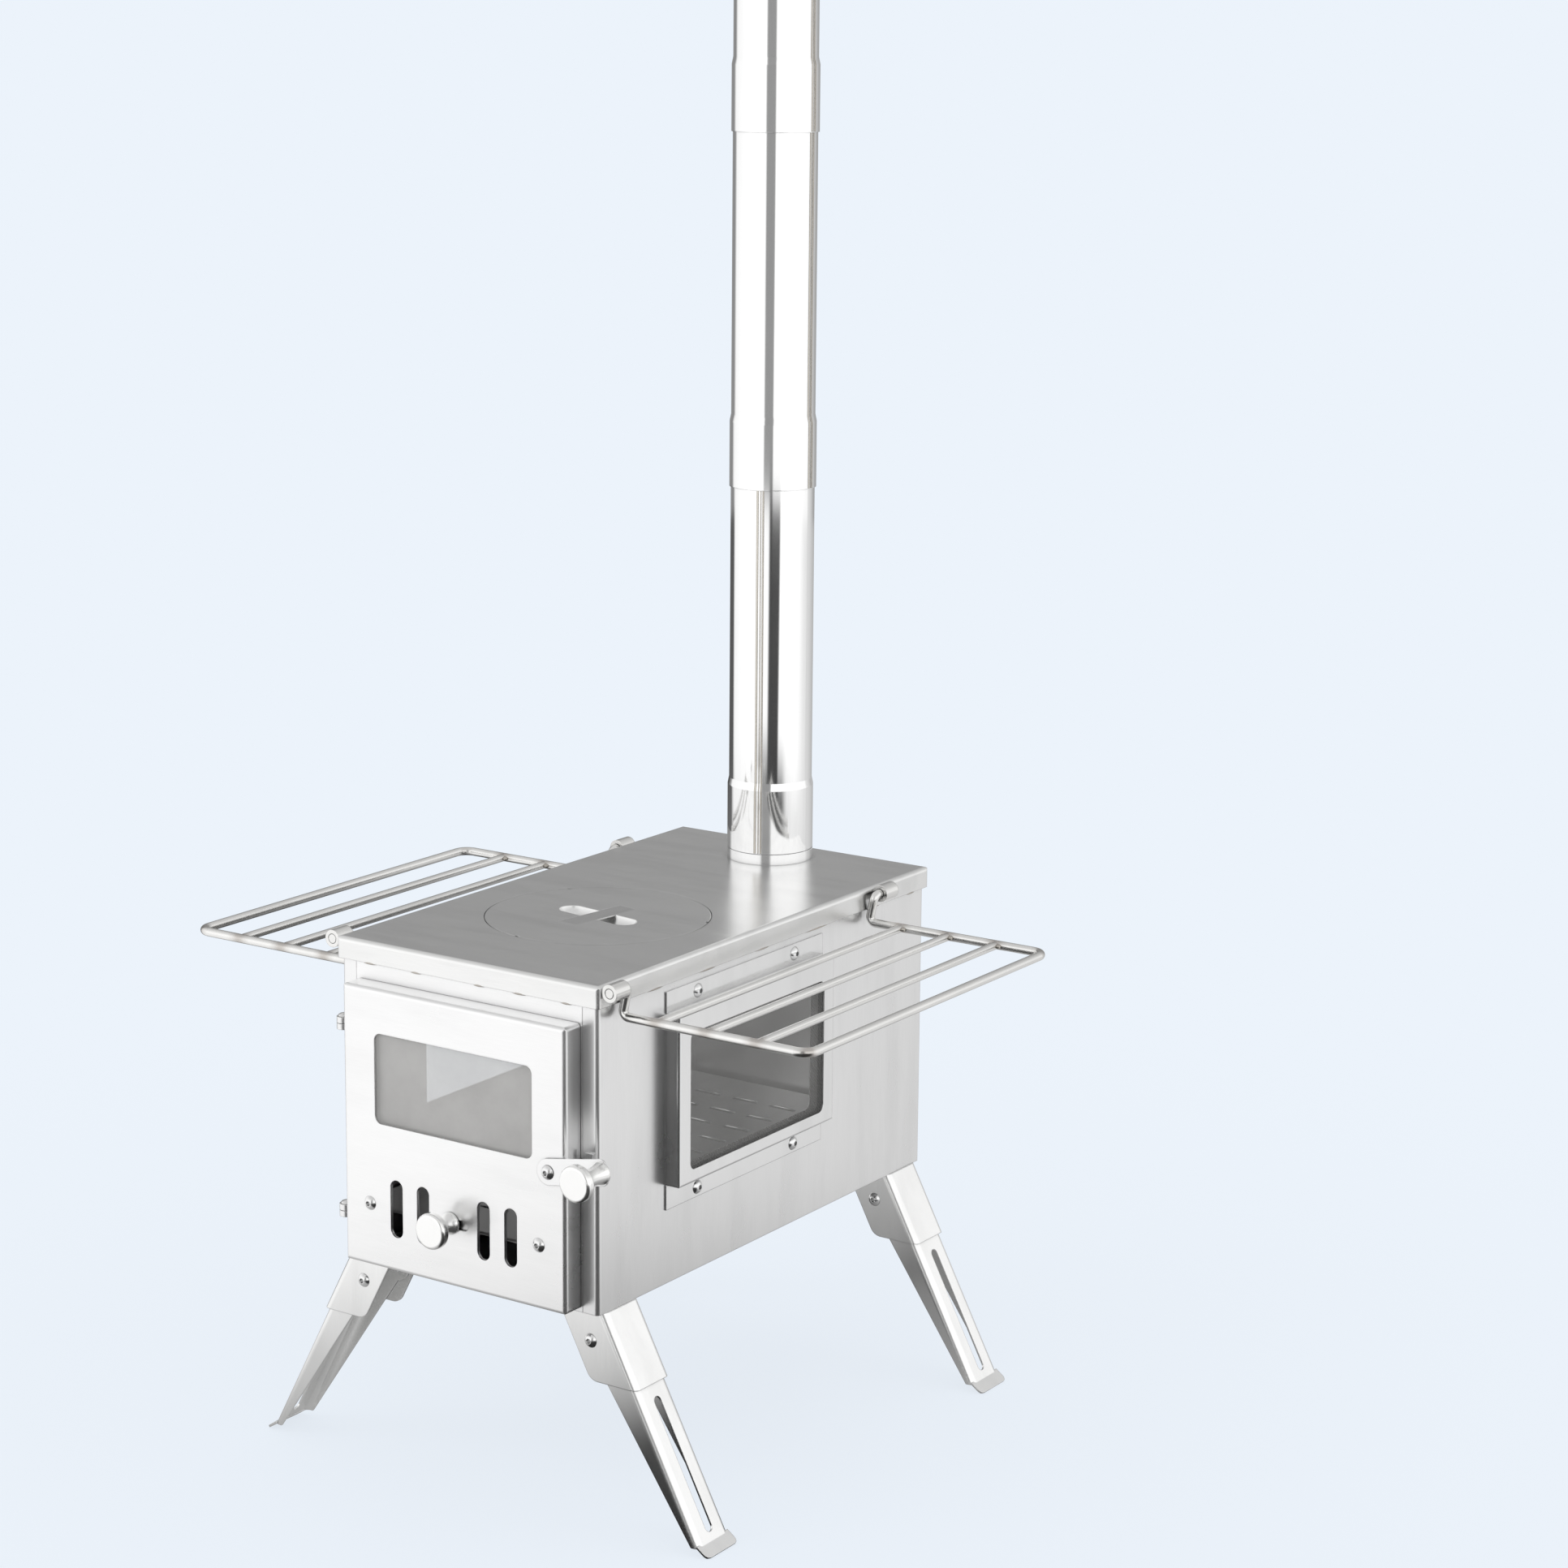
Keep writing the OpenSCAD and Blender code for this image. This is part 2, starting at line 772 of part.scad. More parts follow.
module left_gasket() {
    color(rope_dark) placed() mirrored_left() window_gasket();
}

module side_screws() {
    translate([half_w + bezel_t, -win_y, win_mid_z])
        for (y = [-1, 1], z = bezel_screw_z)
            translate([0, y * bezel_screw, z])
                rotate([0, 90, 0]) screw(bezel_t + sheet + over);
}

module window_screws() {
    color(bolt_steel) placed() {
        side_screws();
        mirrored_left() side_screws();
    }
}

// One eye: a curled strip on the top plate's side edge, its bore along Y
module shelf_eye() {
    difference() {
        rotate([-90, 0, 0]) cylinder(h = eye_len, r = eye_r);
        translate([0, -over, 0]) rotate([-90, 0, 0])
            cylinder(h = eye_len + 2 * over, r = eye_bore);
    }
}

module side_eyes() {
    translate([eye_x, -shelf_y, eye_z]) {
        translate([0, eye_in, 0]) shelf_eye();
        translate([0, -eye_in - eye_len, 0]) shelf_eye();
    }
}

module shelf_eyes() {
    color(steel) placed() {
        side_eyes();
        mirrored_left() side_eyes();
    }
}

// The shelf's wire: eye pin, drop, arm and outer rod, then the same again
module shelf_wire() {
    arm = shelf_len / 2;
    tip = eye_in + eye_len - over;
    wire([
        [eye_x, -tip, eye_z],
        [eye_x, -arm, eye_z],
        [hook_x, -arm, shelf_z],
        [shelf_end, -arm, shelf_z],
        [shelf_end, arm, shelf_z],
        [hook_x, arm, shelf_z],
        [eye_x, arm, eye_z],
        [eye_x, tip, eye_z]
    ], [0, hook_bend, hook_bend, shelf_corner,
        shelf_corner, hook_bend, hook_bend, 0], rod_r);
}

module wire_shelf(shift) {
    translate([0, shift - shelf_y, 0]) {
        shelf_wire();
        for (i = [0 : 2])
            rod([bar_first + i * shelf_pitch, -shelf_len / 2, shelf_z],
                [bar_first + i * shelf_pitch, shelf_len / 2, shelf_z], bar_r);
    }
}

module right_shelf() {
    color(steel) placed() wire_shelf(right_shift);
}

module left_shelf() {
    color(steel) placed() mirrored_left() wire_shelf(left_shift);
}

// The fixed half of one hinge: barrel, arm to the body and upright pin
module hinge_lug() {
    cylinder(h = barrel_h, r = barrel_r);
    translate([-hinge_t / 2, 0, 0]) cube([hinge_t, hinge_front, barrel_h]);
    cylinder(h = 2 * barrel_h + run_gap, r = pin_r);
}

module hinge_lugs() {
    color(steel) placed() for (z = [hinge_low, hinge_high])
        translate([-hinge_x, -hinge_y, body_z + z]) hinge_lug();
}

module door_knuckles() {
    color(steel) placed() for (z = [hinge_low, hinge_high])
        translate([-hinge_x, -hinge_y, body_z + z + barrel_h + run_gap])
            difference() {
                union() {
                    cylinder(h = barrel_h, r = barrel_r);
                    translate([0, -hinge_t / 2, 0])
                        cube([hinge_out, hinge_t, barrel_h]);
                }
                translate([0, 0, -over])
                    cylinder(h = barrel_h + 2 * over, r = pin_r + shaft_gap);
            }
}

module latch_catch() {
    color(steel) placed() translate([catch_x, -half_d, catch_z]) {
        translate([-catch_plate_w / 2, -catch_plate_t, -catch_plate_h / 2])
            cube([catch_plate_w, catch_plate_t, catch_plate_h]);
        translate([0, -catch_plate_t + overlap, 0]) rotate([90, 0, 0])
            cylinder(h = latch_front - half_d + catch_past - catch_plate_t + overlap,
                r = catch_r);
    }
}

// A channel of sheet t that opens towards -X, its closed face at x = face and
// its middle on y = 0, running from z = -down to z = up
module channel(face, w, t, down, up) {
    translate([face - channel_deep, 0, -down]) linear_extrude(down + up)
        difference() {
            round_rect(2 * channel_deep, w, channel_bend);
            round_rect(2 * channel_deep - 2 * t, w - 2 * t, channel_bend - t);
        }
}

// Puts a piece drawn round the origin, upright, onto the leaning leg axis
module leaning() {
    translate([leg_x, 0, pivot_z]) rotate([0, -leg_tilt, 0]) children();
}

module bracket_outline() {
    rx = leg_x_at(bracket_in + bracket_r, bracket_low + bracket_r);
    rz = bracket_low + bracket_r;
    translate([rx, rz]) circle(bracket_r);
    polygon([
        [leg_x_at(bracket_in, body_z), body_z],
        [rx - bracket_r * cos(leg_tilt), rz - bracket_r * sin(leg_tilt)],
        [rx, bracket_low],
        [leg_x_at(bracket_face, bracket_low), bracket_low],
        [leg_x_at(bracket_face, body_z), body_z]
    ]);
}

module pivot_holes(w, r) {
    translate([leg_x, w, pivot_z]) rotate([90, 0, 0]) cylinder(h = 2 * w, r = r);
}

module leg_bracket() {
    difference() {
        intersection() {
            leaning() channel(bracket_face, bracket_w, leg_t, 2 * bracket_h, bracket_h);
            translate([0, -bracket_w, 0]) standing(2 * bracket_w) bracket_outline();
        }
        pivot_holes(bracket_w, shank_r + shaft_gap);
    }
}

// Side view of the leg round its pivot, before it is cut at the ground
module leg_outline() {
    circle(leg_eye);
    polygon([
        [leg_face - leg_top, 0],
        [leg_face, -over],
        [leg_face, -leg_long - pad_len],
        [leg_face - leg_toe, -leg_long - pad_len],
        [leg_face - leg_toe, -leg_long]
    ]);
}

module above_ground(z) {
    translate([0, -leg_w, z]) cube([foot_x + leg_long, 2 * leg_w, body_z]);
}

module leg() {
    slot_len = leg_long - leg_slot_top - leg_slot_low;
    difference() {
        intersection() {
            leaning() intersection() {
                channel(leg_face, leg_w, leg_t, leg_long + 2 * pad_len, leg_eye);
                translate([0, -leg_w, 0]) standing(2 * leg_w) leg_outline();
            }
            above_ground(pad_rise - pad_under);
        }
        pivot_holes(leg_w, shank_r + shaft_gap);
        leaning()
            translate([leg_face - 2 * leg_t, 0, -leg_slot_top - slot_len / 2])
                standing_side(4 * leg_t) stadium(leg_slot_w, slot_len);
    }
    intersection() {
        translate([foot_x, 0, pad_rise]) rotate([0, pad_tilt, 0])
            translate([0, 0, -leg_t]) linear_extrude(leg_t) {
                translate([-leg_t, -leg_w / 2]) square([pad_len - pad_r + leg_t, leg_w]);
                translate([-leg_t, pad_r - leg_w / 2])
                    square([pad_len + leg_t, leg_w - 2 * pad_r]);
                for (y = [-1, 1])
                    translate([pad_len - pad_r, y * (leg_w / 2 - pad_r)]) circle(pad_r);
            }
        above_ground(0);
    }
}

// The two pivot screws of one leg, each with its nut inside the channel
module pivot_screws() {
    for (side = [0, 1]) mirror([0, side, 0])
        translate([leg_x, -bracket_w / 2, pivot_z]) rotate([90, 0, 0]) {
            screw(2 * leg_t + 2 * run_gap + overlap);
            translate([0, 0, -2 * leg_t - 2 * run_gap - nut_h])
                linear_extrude(nut_h) circle(nut_r, $fn = 6);
        }
}

module front_right_bracket() {
    color(steel) placed() translate([0, -front_leg_y, 0]) leg_bracket();
}

module front_left_bracket() {
    color(steel) placed() mirrored_left() translate([0, -front_leg_y, 0]) leg_bracket();
}

module rear_right_bracket() {
    color(steel) placed() translate([0, rear_leg_y, 0]) leg_bracket();
}

module rear_left_bracket() {
    color(steel) placed() mirrored_left() translate([0, rear_leg_y, 0]) leg_bracket();
}

module leg_screws() {
    color(bolt_steel) placed() for (y = [-front_leg_y, rear_leg_y])
        translate([0, y, 0]) {
            pivot_screws();
            mirrored_left() pivot_screws();
        }
}

module front_right_leg() {
    color(steel) placed() translate([0, -front_leg_y, 0]) leg();
}

module front_left_leg() {
    color(steel) placed() mirrored_left() translate([0, -front_leg_y, 0]) leg();
}

module rear_right_leg() {
    color(steel) placed() translate([0, rear_leg_y, 0]) leg();
}

module rear_left_leg() {
    color(steel) placed() mirrored_left() translate([0, rear_leg_y, 0]) leg();
}

module door_shell() {
    knob_slot = slide_run + 2 * slide_stem + 2 * run_gap;
    color(steel) placed() difference() {
        translate([0, -door_back, door_mid_z]) rotate([90, 0, 0])
            pan(door_w, door_h, door_deep, sheet, door_bend);
        translate([0, -door_front - over, 0]) standing(sheet + 2 * over) {
            translate([0, pane_z]) round_rect(pane_w, pane_h, pane_r);
            for (x = slot_xs) translate([x, slot_z]) stadium(slot_w, slot_h);
            for (x = [-1, 1]) translate([x * guide_out, slot_z]) circle(shank_r + seam);
            translate([slide_knob_x + slide_run / 2, slot_z])
                rotate(90) stadium(2 * (slide_stem + run_gap), knob_slot);
            translate([latch_x, latch_pz]) circle(shank_r + seam);
        }
    }
}

module door_glass() {
    color(pane_clear) placed() translate([0, -door_inside, pane_z])
        standing(glass_t) round_rect(cover_w, cover_h, pane_r);
}

module door_gasket() {
    color(rope_dark) placed() translate([0, glass_t - door_inside, pane_z])
        standing(rope_t) difference() {
            round_rect(rope_w, rope_h, pane_r);
            round_rect(pane_w, pane_h, pane_r);
        }
}

// The pan that holds the glass and its gasket against the door's inside
module glass_clamp() {
    color(steel) placed() translate([0, -door_inside, pane_z]) difference() {
        rotate([-90, 0, 0])
            pan(cover_w + 2 * (sheet + seam), cover_h + 2 * (sheet + seam),
                clamp_deep, sheet, bend_r);
        translate([0, clamp_deep - 2 * sheet, 0]) standing(3 * sheet)
            round_rect(pane_w, pane_h, pane_r);
    }
}

module guide_screws() {
    color(bolt_steel) placed() for (x = [-1, 1])
        translate([x * guide_out, -door_front, slot_z]) rotate([90, 0, 0]) {
            screw(sheet + slide_t + 2 * run_gap + overlap);
            translate([0, 0, -sheet - slide_t - 2 * run_gap - nut_h])
                linear_extrude(nut_h) circle(nut_r, $fn = 6);
        }
}

module latch_screw() {
    color(bolt_steel) placed()
        translate([latch_x, -latch_front - run_gap, latch_pz]) rotate([90, 0, 0]) {
            screw(latch_t + 3 * run_gap + sheet + overlap);
            translate([0, 0, -latch_t - 3 * run_gap - sheet - nut_h])
                linear_extrude(nut_h) circle(nut_r, $fn = 6);
        }
}

module slide_plate() {
    guide_len = slide_run + 2 * (shank_r + run_gap);
    color(steel) placed() difference() {
        translate([0, -slide_y, slot_z]) standing(slide_t) difference() {
            square([slide_w, slide_h], center = true);
            for (x = slot_xs) translate([x, 0]) stadium(slot_w, slot_h);
            for (x = [-1, 1])
                translate([x * guide_out - slide_run / 2, 0])
                    rotate(90) stadium(2 * (shank_r + run_gap), guide_len);
        }
    }
}

module slide_knob() {
    stem = sheet + 2 * run_gap;
    color(bolt_steel) placed()
        translate([slide_knob_x, -door_front - run_gap, slot_z]) rotate([90, 0, 0]) {
            knob(slide_knob_h);
            translate([0, 0, -stem]) cylinder(h = stem + overlap, r = slide_stem);
        }
}

// Draws a flat outline round the latch's pivot, along its tilted arm
module on_latch() {
    translate([latch_x, -latch_front, latch_pz]) rotate([0, -latch_tilt, 0]) children();
}

module latch_lever() {
    notch_r = catch_r + run_gap;
    color(steel) placed() on_latch() standing(latch_t) difference() {
        union() {
            circle(latch_r);
            translate([0, -latch_r]) square([latch_len / 2, 2 * latch_r]);
            translate([(latch_len + latch_past) / 2, 0])
                round_rect(latch_len + latch_past, 2 * latch_r, latch_corner);
        }
        circle(shank_r + shaft_gap);
        translate([catch_out, 0]) circle(notch_r);
        intersection() {
            difference() {
                circle(catch_out + notch_r);
                circle(catch_out - notch_r);
            }
            translate([0, -2 * latch_r]) square([2 * catch_out, 2 * latch_r]);
        }
    }
}

module latch_knob() {
    color(bolt_steel) placed() on_latch()
        translate([latch_len, 0, 0]) rotate([90, 0, 0]) knob(latch_knob_h);
}

// The finger recess: a round-ended trough about an axis above the lid, without its core
module grip_bowl(grow) {
    trough_len = grip_len - grip_w + 2 * (grip_ball + grow);
    rotate([0, 90, 0]) rotate_extrude() intersection() {
        stadium(2 * (grip_ball + grow), trough_len);
        translate([grip_axis / 2, -grip_len]) square([grip_len, 2 * grip_len]);
    }
}

// Turns a piece of the lid's grip away from the middle line
module on_lid(z) {
    translate([0, -lid_y, z]) rotate(-grip_turn) children();
}

module burner_lid() {
    color(plate_grey) placed() difference() {
        union() {
            translate([0, -lid_y, top_z - lid_t]) linear_extrude(lid_t) circle(lid_r);
            on_lid(top_z) intersection() {
                translate([0, 0, grip_axis]) grip_bowl(lid_t);
                translate([-lid_r, -lid_r, -lid_r]) cube([lid_d, lid_d, lid_r - lid_t / 2]);
            }
        }
        on_lid(top_z + grip_axis) grip_bowl(0);
        on_lid(top_z - strap_t) strap_box(strap_gap, over);
        translate([0, -lid_y, top_z - lid_t - over]) for (a = notch_turns)
            rotate(a) translate([lid_r, 0]) linear_extrude(lid_t + 2 * over)
                square([2 * notch_deep, notch_w], center = true);
    }
}

// The strap's block, grown by a gap all round and upwards
module strap_box(gap, rise) {
    translate([-strap_w / 2 - gap, -strap_len / 2 - gap, 0])
        cube([strap_w + 2 * gap, strap_len + 2 * gap, strap_t + rise]);
}

// The strap lies flush with the lid and bridges the recess
module lid_strap() {
    color(plate_grey) placed() on_lid(top_z - strap_t) strap_box(0, 0);
}

// One pipe section: a socket that fits over the piece below, and a plain top
module pipe_section(rise) {
    pipe_len = rise + socket_h;
    rotate_extrude() polygon([
        [socket_in, 0],
        [socket_out, 0],
        [socket_out, socket_h],
        [pipe_r, socket_h + taper_h],
        [pipe_r, pipe_len],
        [bore_r, pipe_len],
        [bore_r, socket_h + taper_h],
        [socket_in, socket_h]
    ]);
}

module flue_lower() {
    color(pipe_steel) placed()
        translate([flue_x, flue_y, flue_z]) pipe_section(lower_rise);
}

module flue_middle() {
    color(pipe_steel) placed()
        translate([flue_x, flue_y, flue_middle_z]) pipe_section(middle_rise);
}

module flue_upper() {
    color(pipe_steel) placed()
        translate([flue_x, flue_y, flue_upper_z]) pipe_section(upper_rise);
}

top_plate();
burner_seat();
flue_collar();
left_wall();
right_wall();
front_panel();
rear_panel();
floor_plate();
fire_grate();
left_bezel();
right_bezel();
left_glass();
right_glass();
left_gasket();
right_gasket();
window_screws();
shelf_eyes();
hinge_lugs();
latch_catch();
front_left_bracket();
front_right_bracket();
rear_left_bracket();
rear_right_bracket();
leg_screws();
door_shell();
door_glass();
door_gasket();
glass_clamp();
door_knuckles();
guide_screws();
latch_screw();
slide_plate();
slide_knob();
latch_lever();
latch_knob();
burner_lid();
lid_strap();
front_left_leg();
front_right_leg();
rear_left_leg();
rear_right_leg();
left_shelf();
right_shelf();
flue_lower();
flue_middle();
flue_upper();
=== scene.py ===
import json
import math

import bmesh
import bpy
from mathutils import Matrix, Vector


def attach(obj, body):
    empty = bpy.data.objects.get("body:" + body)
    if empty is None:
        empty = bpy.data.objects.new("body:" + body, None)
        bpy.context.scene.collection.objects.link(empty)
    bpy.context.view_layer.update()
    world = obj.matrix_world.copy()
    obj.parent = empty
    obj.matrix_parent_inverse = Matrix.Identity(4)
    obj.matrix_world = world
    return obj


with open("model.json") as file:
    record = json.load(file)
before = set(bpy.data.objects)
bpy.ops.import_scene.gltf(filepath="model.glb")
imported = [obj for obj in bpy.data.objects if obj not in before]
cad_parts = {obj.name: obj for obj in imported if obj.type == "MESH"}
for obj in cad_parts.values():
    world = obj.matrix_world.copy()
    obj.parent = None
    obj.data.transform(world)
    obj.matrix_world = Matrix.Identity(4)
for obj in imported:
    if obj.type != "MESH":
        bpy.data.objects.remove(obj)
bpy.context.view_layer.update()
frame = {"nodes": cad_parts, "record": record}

MM = 0.001

# The camera of the photograph, solved about the middle of the body's plan at
# the height of the top plate. Lengths in millimetres, angles in degrees.
IMAGE = 1932
CAMERA_AZIMUTH = 33.988
CAMERA_ELEVATION = 11.047
CAMERA_ROLL = 0.504
CAMERA_DISTANCE = 2438.4
CAMERA_RIGHT = 92.33
CAMERA_UP = 143.42
FOCAL_PIXELS = 4483.9
CENTRE_ROW = 846
SENSOR = 36
CLIP_END = 200

# Sizes that repeat the CAD source, in millimetres
FRAME_Y = 21.65
TOP_Z = 357.5
FLANGE_X = 105.6
FLANGE_Y = 191.1
FLANGE_LOW = 343.2
REAR_INSIDE = 187.3
FLUE_X = -2
FLUE_Y = 152
PIPE_R = 29
SOCKET_R = 30
SOCKET_H = 45
TAPER_H = 5
# The foot and the rise of each pipe section
FLUE_SECTIONS = {
    "flue_lower_body": (365.3, 255),
    "flue_middle_body": (620.3, 242),
    "flue_upper_body": (862.3, 255),
}
ARM_Y = 140.75
SHELF_Y = -28.5
SHELF_Z = 334.5
BAR_X = 133.5
BAR_PITCH = 37.3
BAR_COUNT = 3
GRATE_Z = 177.5
GRATE_SLOT = 22.5
GRATE_SLOT_W = 3
GRATE_COLUMNS = (-48, -16, 16, 48)
GRATE_ROWS = 5
GRATE_PITCH = 28.6
HINGE_X = -95
HINGE_Y = -197
HINGE_TOPS = (181, 307)

# Small details, in millimetres. Beads are given by their half sizes.
BEAD_AROUND = 14
BEAD_RINGS = 8
# Where each seam stands, in degrees from the door's direction
LOWER_SEAM_TURN = 17
OTHER_SEAM_TURN = 93
# The strips of a seam: degrees from the seam's middle, and width
SEAM_STRIPS = ((-3.4, 1.6), (1.2, 0.7), (4.6, 1.3))
# A strip's section: height over the pipe, and place across in half widths
STRIP_SECTION = ((-0.05, -1), (0.22, -1), (0.25, 0), (0.22, 1), (-0.05, 1))
SEAM_END = 0.5
SHELF_WELD = (2.1, 2.1, 1.7)
SHELF_WELD_ASIDE = 3.1
SHELF_WELD_INSIDE = 3.4
# Weld runs under the flange: place along it, and half length
SIDE_RUNS = ((-131.5, 10), (-75, 11), (-13, 9), (51, 16), (120, 10), (168, 6))
END_RUNS = ((-78, 6), (-40, 5), (11, 5), (43, 6), (80, 5))
RUN_HALF_W = 1.3
RUN_HALF_H = 1.0
RUN_INSET = 1.0
REAR_SPOT = (1.1, 0.5, 1.1)
REAR_SPOT_X = 14
REAR_SPOT_HEIGHTS = (168, 183, 198, 213, 228, 241, 253)
LIP_HALF_W = 1.0
LIP_HALF_H = 1.1
LIP_OUT = 0.5
HINGE_CAP = (3.8, 3.8, 2.2)
CAP_LIFT = 0.05

# Material constants: reaches, depths and radii in millimetres
# HOLLOW_REACH is how far the painted shade in creases and gaps reaches
HOLLOW_REACH = 6
EDGE_ROUND = 0.8
MILL_DEPTH = 0.0008
ROPE_DEPTH = 0.4
WELD_REACH = 10

# The tint of steel beside a weld, and the colour of the backdrop
WELD_TINT = (0.30, 0.25, 0.21, 1)
BACKGROUND = (0.839, 0.896, 0.965, 1)


def place(x, y, z):
    """A point in the stove's frame from millimetres about the body's middle."""
    return Vector((x, y + FRAME_Y, z)) * MM


class Nodes:
    """Short calls for building a node tree."""

    def __init__(self, tree):
        self.tree = tree
        tree.nodes.clear()

    def add(self, kind, inputs=None, **settings):
        node = self.tree.nodes.new(kind)
        for name, value in settings.items():
            setattr(node, name, value)
        for name, value in (inputs or {}).items():
            if isinstance(value, bpy.types.NodeSocket):
                self.tree.links.new(value, node.inputs[name])
            else:
                node.inputs[name].default_value = value
        return node

    def link(self, a, b):
        self.tree.links.new(a, b)

    def math(self, operation, a, b=0.0, c=None, clamp=False):
        node = self.add("ShaderNodeMath", {0: a, 1: b}, operation=operation, use_clamp=clamp)
        if c is not None:
            if isinstance(c, bpy.types.NodeSocket):
                self.link(c, node.inputs[2])
            else:
                node.inputs[2].default_value = c
        return node.outputs[0]

    def ramp(self, factor, stops, interpolation="LINEAR"):
        """A colour ramp. Stops are (position, grey level or colour)."""
        node = self.add("ShaderNodeValToRGB", {"Fac": factor})
        node.color_ramp.interpolation = interpolation
        elements = node.color_ramp.elements
        elements[0].position, elements[1].position = stops[0][0], stops[-1][0]
        while len(elements) < len(stops):
            elements.new(0.5)
        for element, (position, _) in zip(elements, stops):
            element.position = position
        for element, (_, value) in zip(elements, stops):
            if not hasattr(value, "__len__"):
                value = (value, value, value)
            element.color = (*value[:3], 1)
        return node.outputs["Color"]

    def mix(self, factor, a, b, blend="MIX"):
        node = self.add("ShaderNodeMix", data_type="RGBA", blend_type=blend)
        for index, value in ((0, factor), (6, a), (7, b)):
            if isinstance(value, bpy.types.NodeSocket):
                self.link(value, node.inputs[index])
            else:
                node.inputs[index].default_value = value
        return node.outputs[2]

    def noise(self, vector, scale, detail=2.0, rough=0.5, stretch=None):
        if stretch is not None:
            vector = self.add("ShaderNodeMapping", {"Vector": vector, "Scale": stretch}).outputs[0]
        node = self.add(
            "ShaderNodeTexNoise",
            {"Vector": vector, "Scale": scale, "Detail": detail, "Roughness": rough},
        )
        return node.outputs["Fac"]

    def bump(self, height, distance, strength=1.0, normal=None):
        inputs = {"Height": height, "Distance": distance, "Strength": strength}
        if normal is not None:
            inputs["Normal"] = normal
        return self.add("ShaderNodeBump", inputs).outputs[0]


def new_material(name):
    """A material with its node builder and its main shader."""
    material = bpy.data.materials.new(name)
    material.use_nodes = True
    nodes = Nodes(material.node_tree)
    out = nodes.add("ShaderNodeOutputMaterial")
    shader = nodes.add("ShaderNodeBsdfPrincipled")
    nodes.link(shader.outputs[0], out.inputs[0])
    nodes.coords = nodes.add("ShaderNodeTexCoord").outputs["Object"]
    return material, nodes, shader


def steel(name, colour, rough, grain, wave=0.0, spread=0.05, mottle=0.05, heat=False):
    """Rolled stainless steel. grain stretches the fine mill lines and the
    soft streaks, wave is the depth of the sheet's slight waviness in
    millimetres, spread varies the roughness, mottle the colour, and heat
    adds the brown tint beside the shelf welds."""
    material, n, shader = new_material(name)
    streak = tuple(math.sqrt(v) for v in grain)
    cloud = n.noise(n.coords, 1, 3, 0.55, streak)
    smudge = n.noise(n.coords, 28, 3, 0.5)
    lines = n.noise(n.coords, 1, 2, 0.5, grain)
    dark = tuple(c * (1 - mottle) for c in colour)
    light = tuple(min(1, c * (1 + 0.4 * mottle)) for c in colour)
    base = n.ramp(cloud, [(0.3, dark), (0.5, colour), (0.72, light)])
    base = n.mix(1.0, base, n.ramp(lines, [(0.3, 0.975), (0.7, 1.0)]), "MULTIPLY")
    if heat:
        base = n.mix(weld_heat(n), base, WELD_TINT)
    # Painted shade: the colour darkens in creases, narrow gaps and under overhangs, wherever other
    # surfaces lie within reach
    hollow = n.add("ShaderNodeAmbientOcclusion", {"Distance": HOLLOW_REACH * MM}, samples=6)
    painted_crease_shade = n.ramp(hollow.outputs["AO"], [(0.0, 0.3), (0.45, 0.8), (0.85, 1.0)])
    n.link(n.mix(1.0, base, painted_crease_shade, "MULTIPLY"), shader.inputs["Base Color"])
    value = n.math("MULTIPLY_ADD", cloud, spread, rough - spread)
    value = n.math("MULTIPLY_ADD", smudge, spread, value, clamp=True)
    n.link(value, shader.inputs["Roughness"])
    normal = n.add("ShaderNodeBevel", {"Radius": EDGE_ROUND * MM}, samples=4).outputs[0]
    if wave:
        normal = n.bump(n.noise(n.coords, 7, 1, 0.4), wave * MM, 1.0, normal)
    n.link(n.bump(lines, MILL_DEPTH * MM, 1.0, normal), shader.inputs["Normal"])
    shader.inputs["Metallic"].default_value = 1.0
    return material


def weld_heat(n):
    """How strongly a point of a shelf is tinted by the nearest weld."""
    x, y, _ = n.add("ShaderNodeSeparateXYZ", {0: n.coords}).outputs
    along = n.math("SUBTRACT", n.math("ABSOLUTE", x), BAR_X * MM)
    along = n.math("PINGPONG", along, BAR_PITCH / 2 * MM)
    across = n.math("ABSOLUTE", n.math("SUBTRACT", y, (SHELF_Y + FRAME_Y) * MM))
    across = n.math("SUBTRACT", across, ARM_Y * MM)
    square = n.math("MULTIPLY_ADD", along, along, n.math("MULTIPLY", across, across))
    away = n.math("DIVIDE", n.math("SQRT", square), WELD_REACH * MM)
    return n.ramp(away, [(0.3, 0.5), (0.6, 0.2), (1.0, 0.0)])


def heat_glass(name, haze_and_sheen_colour, cover):
    """Clear glass under a thin grey haze that covers a share of the view."""
    material, n, shader = new_material(name)
    haze = n.noise(n.coords, 22, 4, 0.6)
    pale = tuple(c + 0.06 for c in haze_and_sheen_colour)
    n.link(n.ramp(haze, [(0.3, haze_and_sheen_colour), (0.7, pale)]), shader.inputs["Base Color"])
    n.link(n.ramp(haze, [(0.3, 0.04), (0.7, 0.09)]), shader.inputs["Roughness"])
    n.link(n.ramp(haze, [(0.3, cover - 0.02), (0.7, cover + 0.02)]), shader.inputs["Alpha"])
    shader.inputs["IOR"].default_value = 1.5
    return material


def rope():
    """The dark woven rope of the seals."""
    material, n, shader = new_material("gasket_rope")
    weave = n.add(
        "ShaderNodeTexWave",
        {"Vector": n.coords, "Scale": 260, "Distortion": 3, "Detail": 2},
        bands_direction="DIAGONAL",
    ).outputs["Fac"]
    fibre = n.noise(n.coords, 900, 2)
    colour = n.ramp(weave, [(0.2, (0.012, 0.012, 0.012)), (0.8, (0.07, 0.068, 0.065))])
    n.link(colour, shader.inputs["Base Color"])
    height = n.math("ADD", weave, n.math("MULTIPLY", fibre, 0.4))
    n.link(n.bump(height, ROPE_DEPTH * MM), shader.inputs["Normal"])
    shader.inputs["Roughness"].default_value = 0.85
    return material


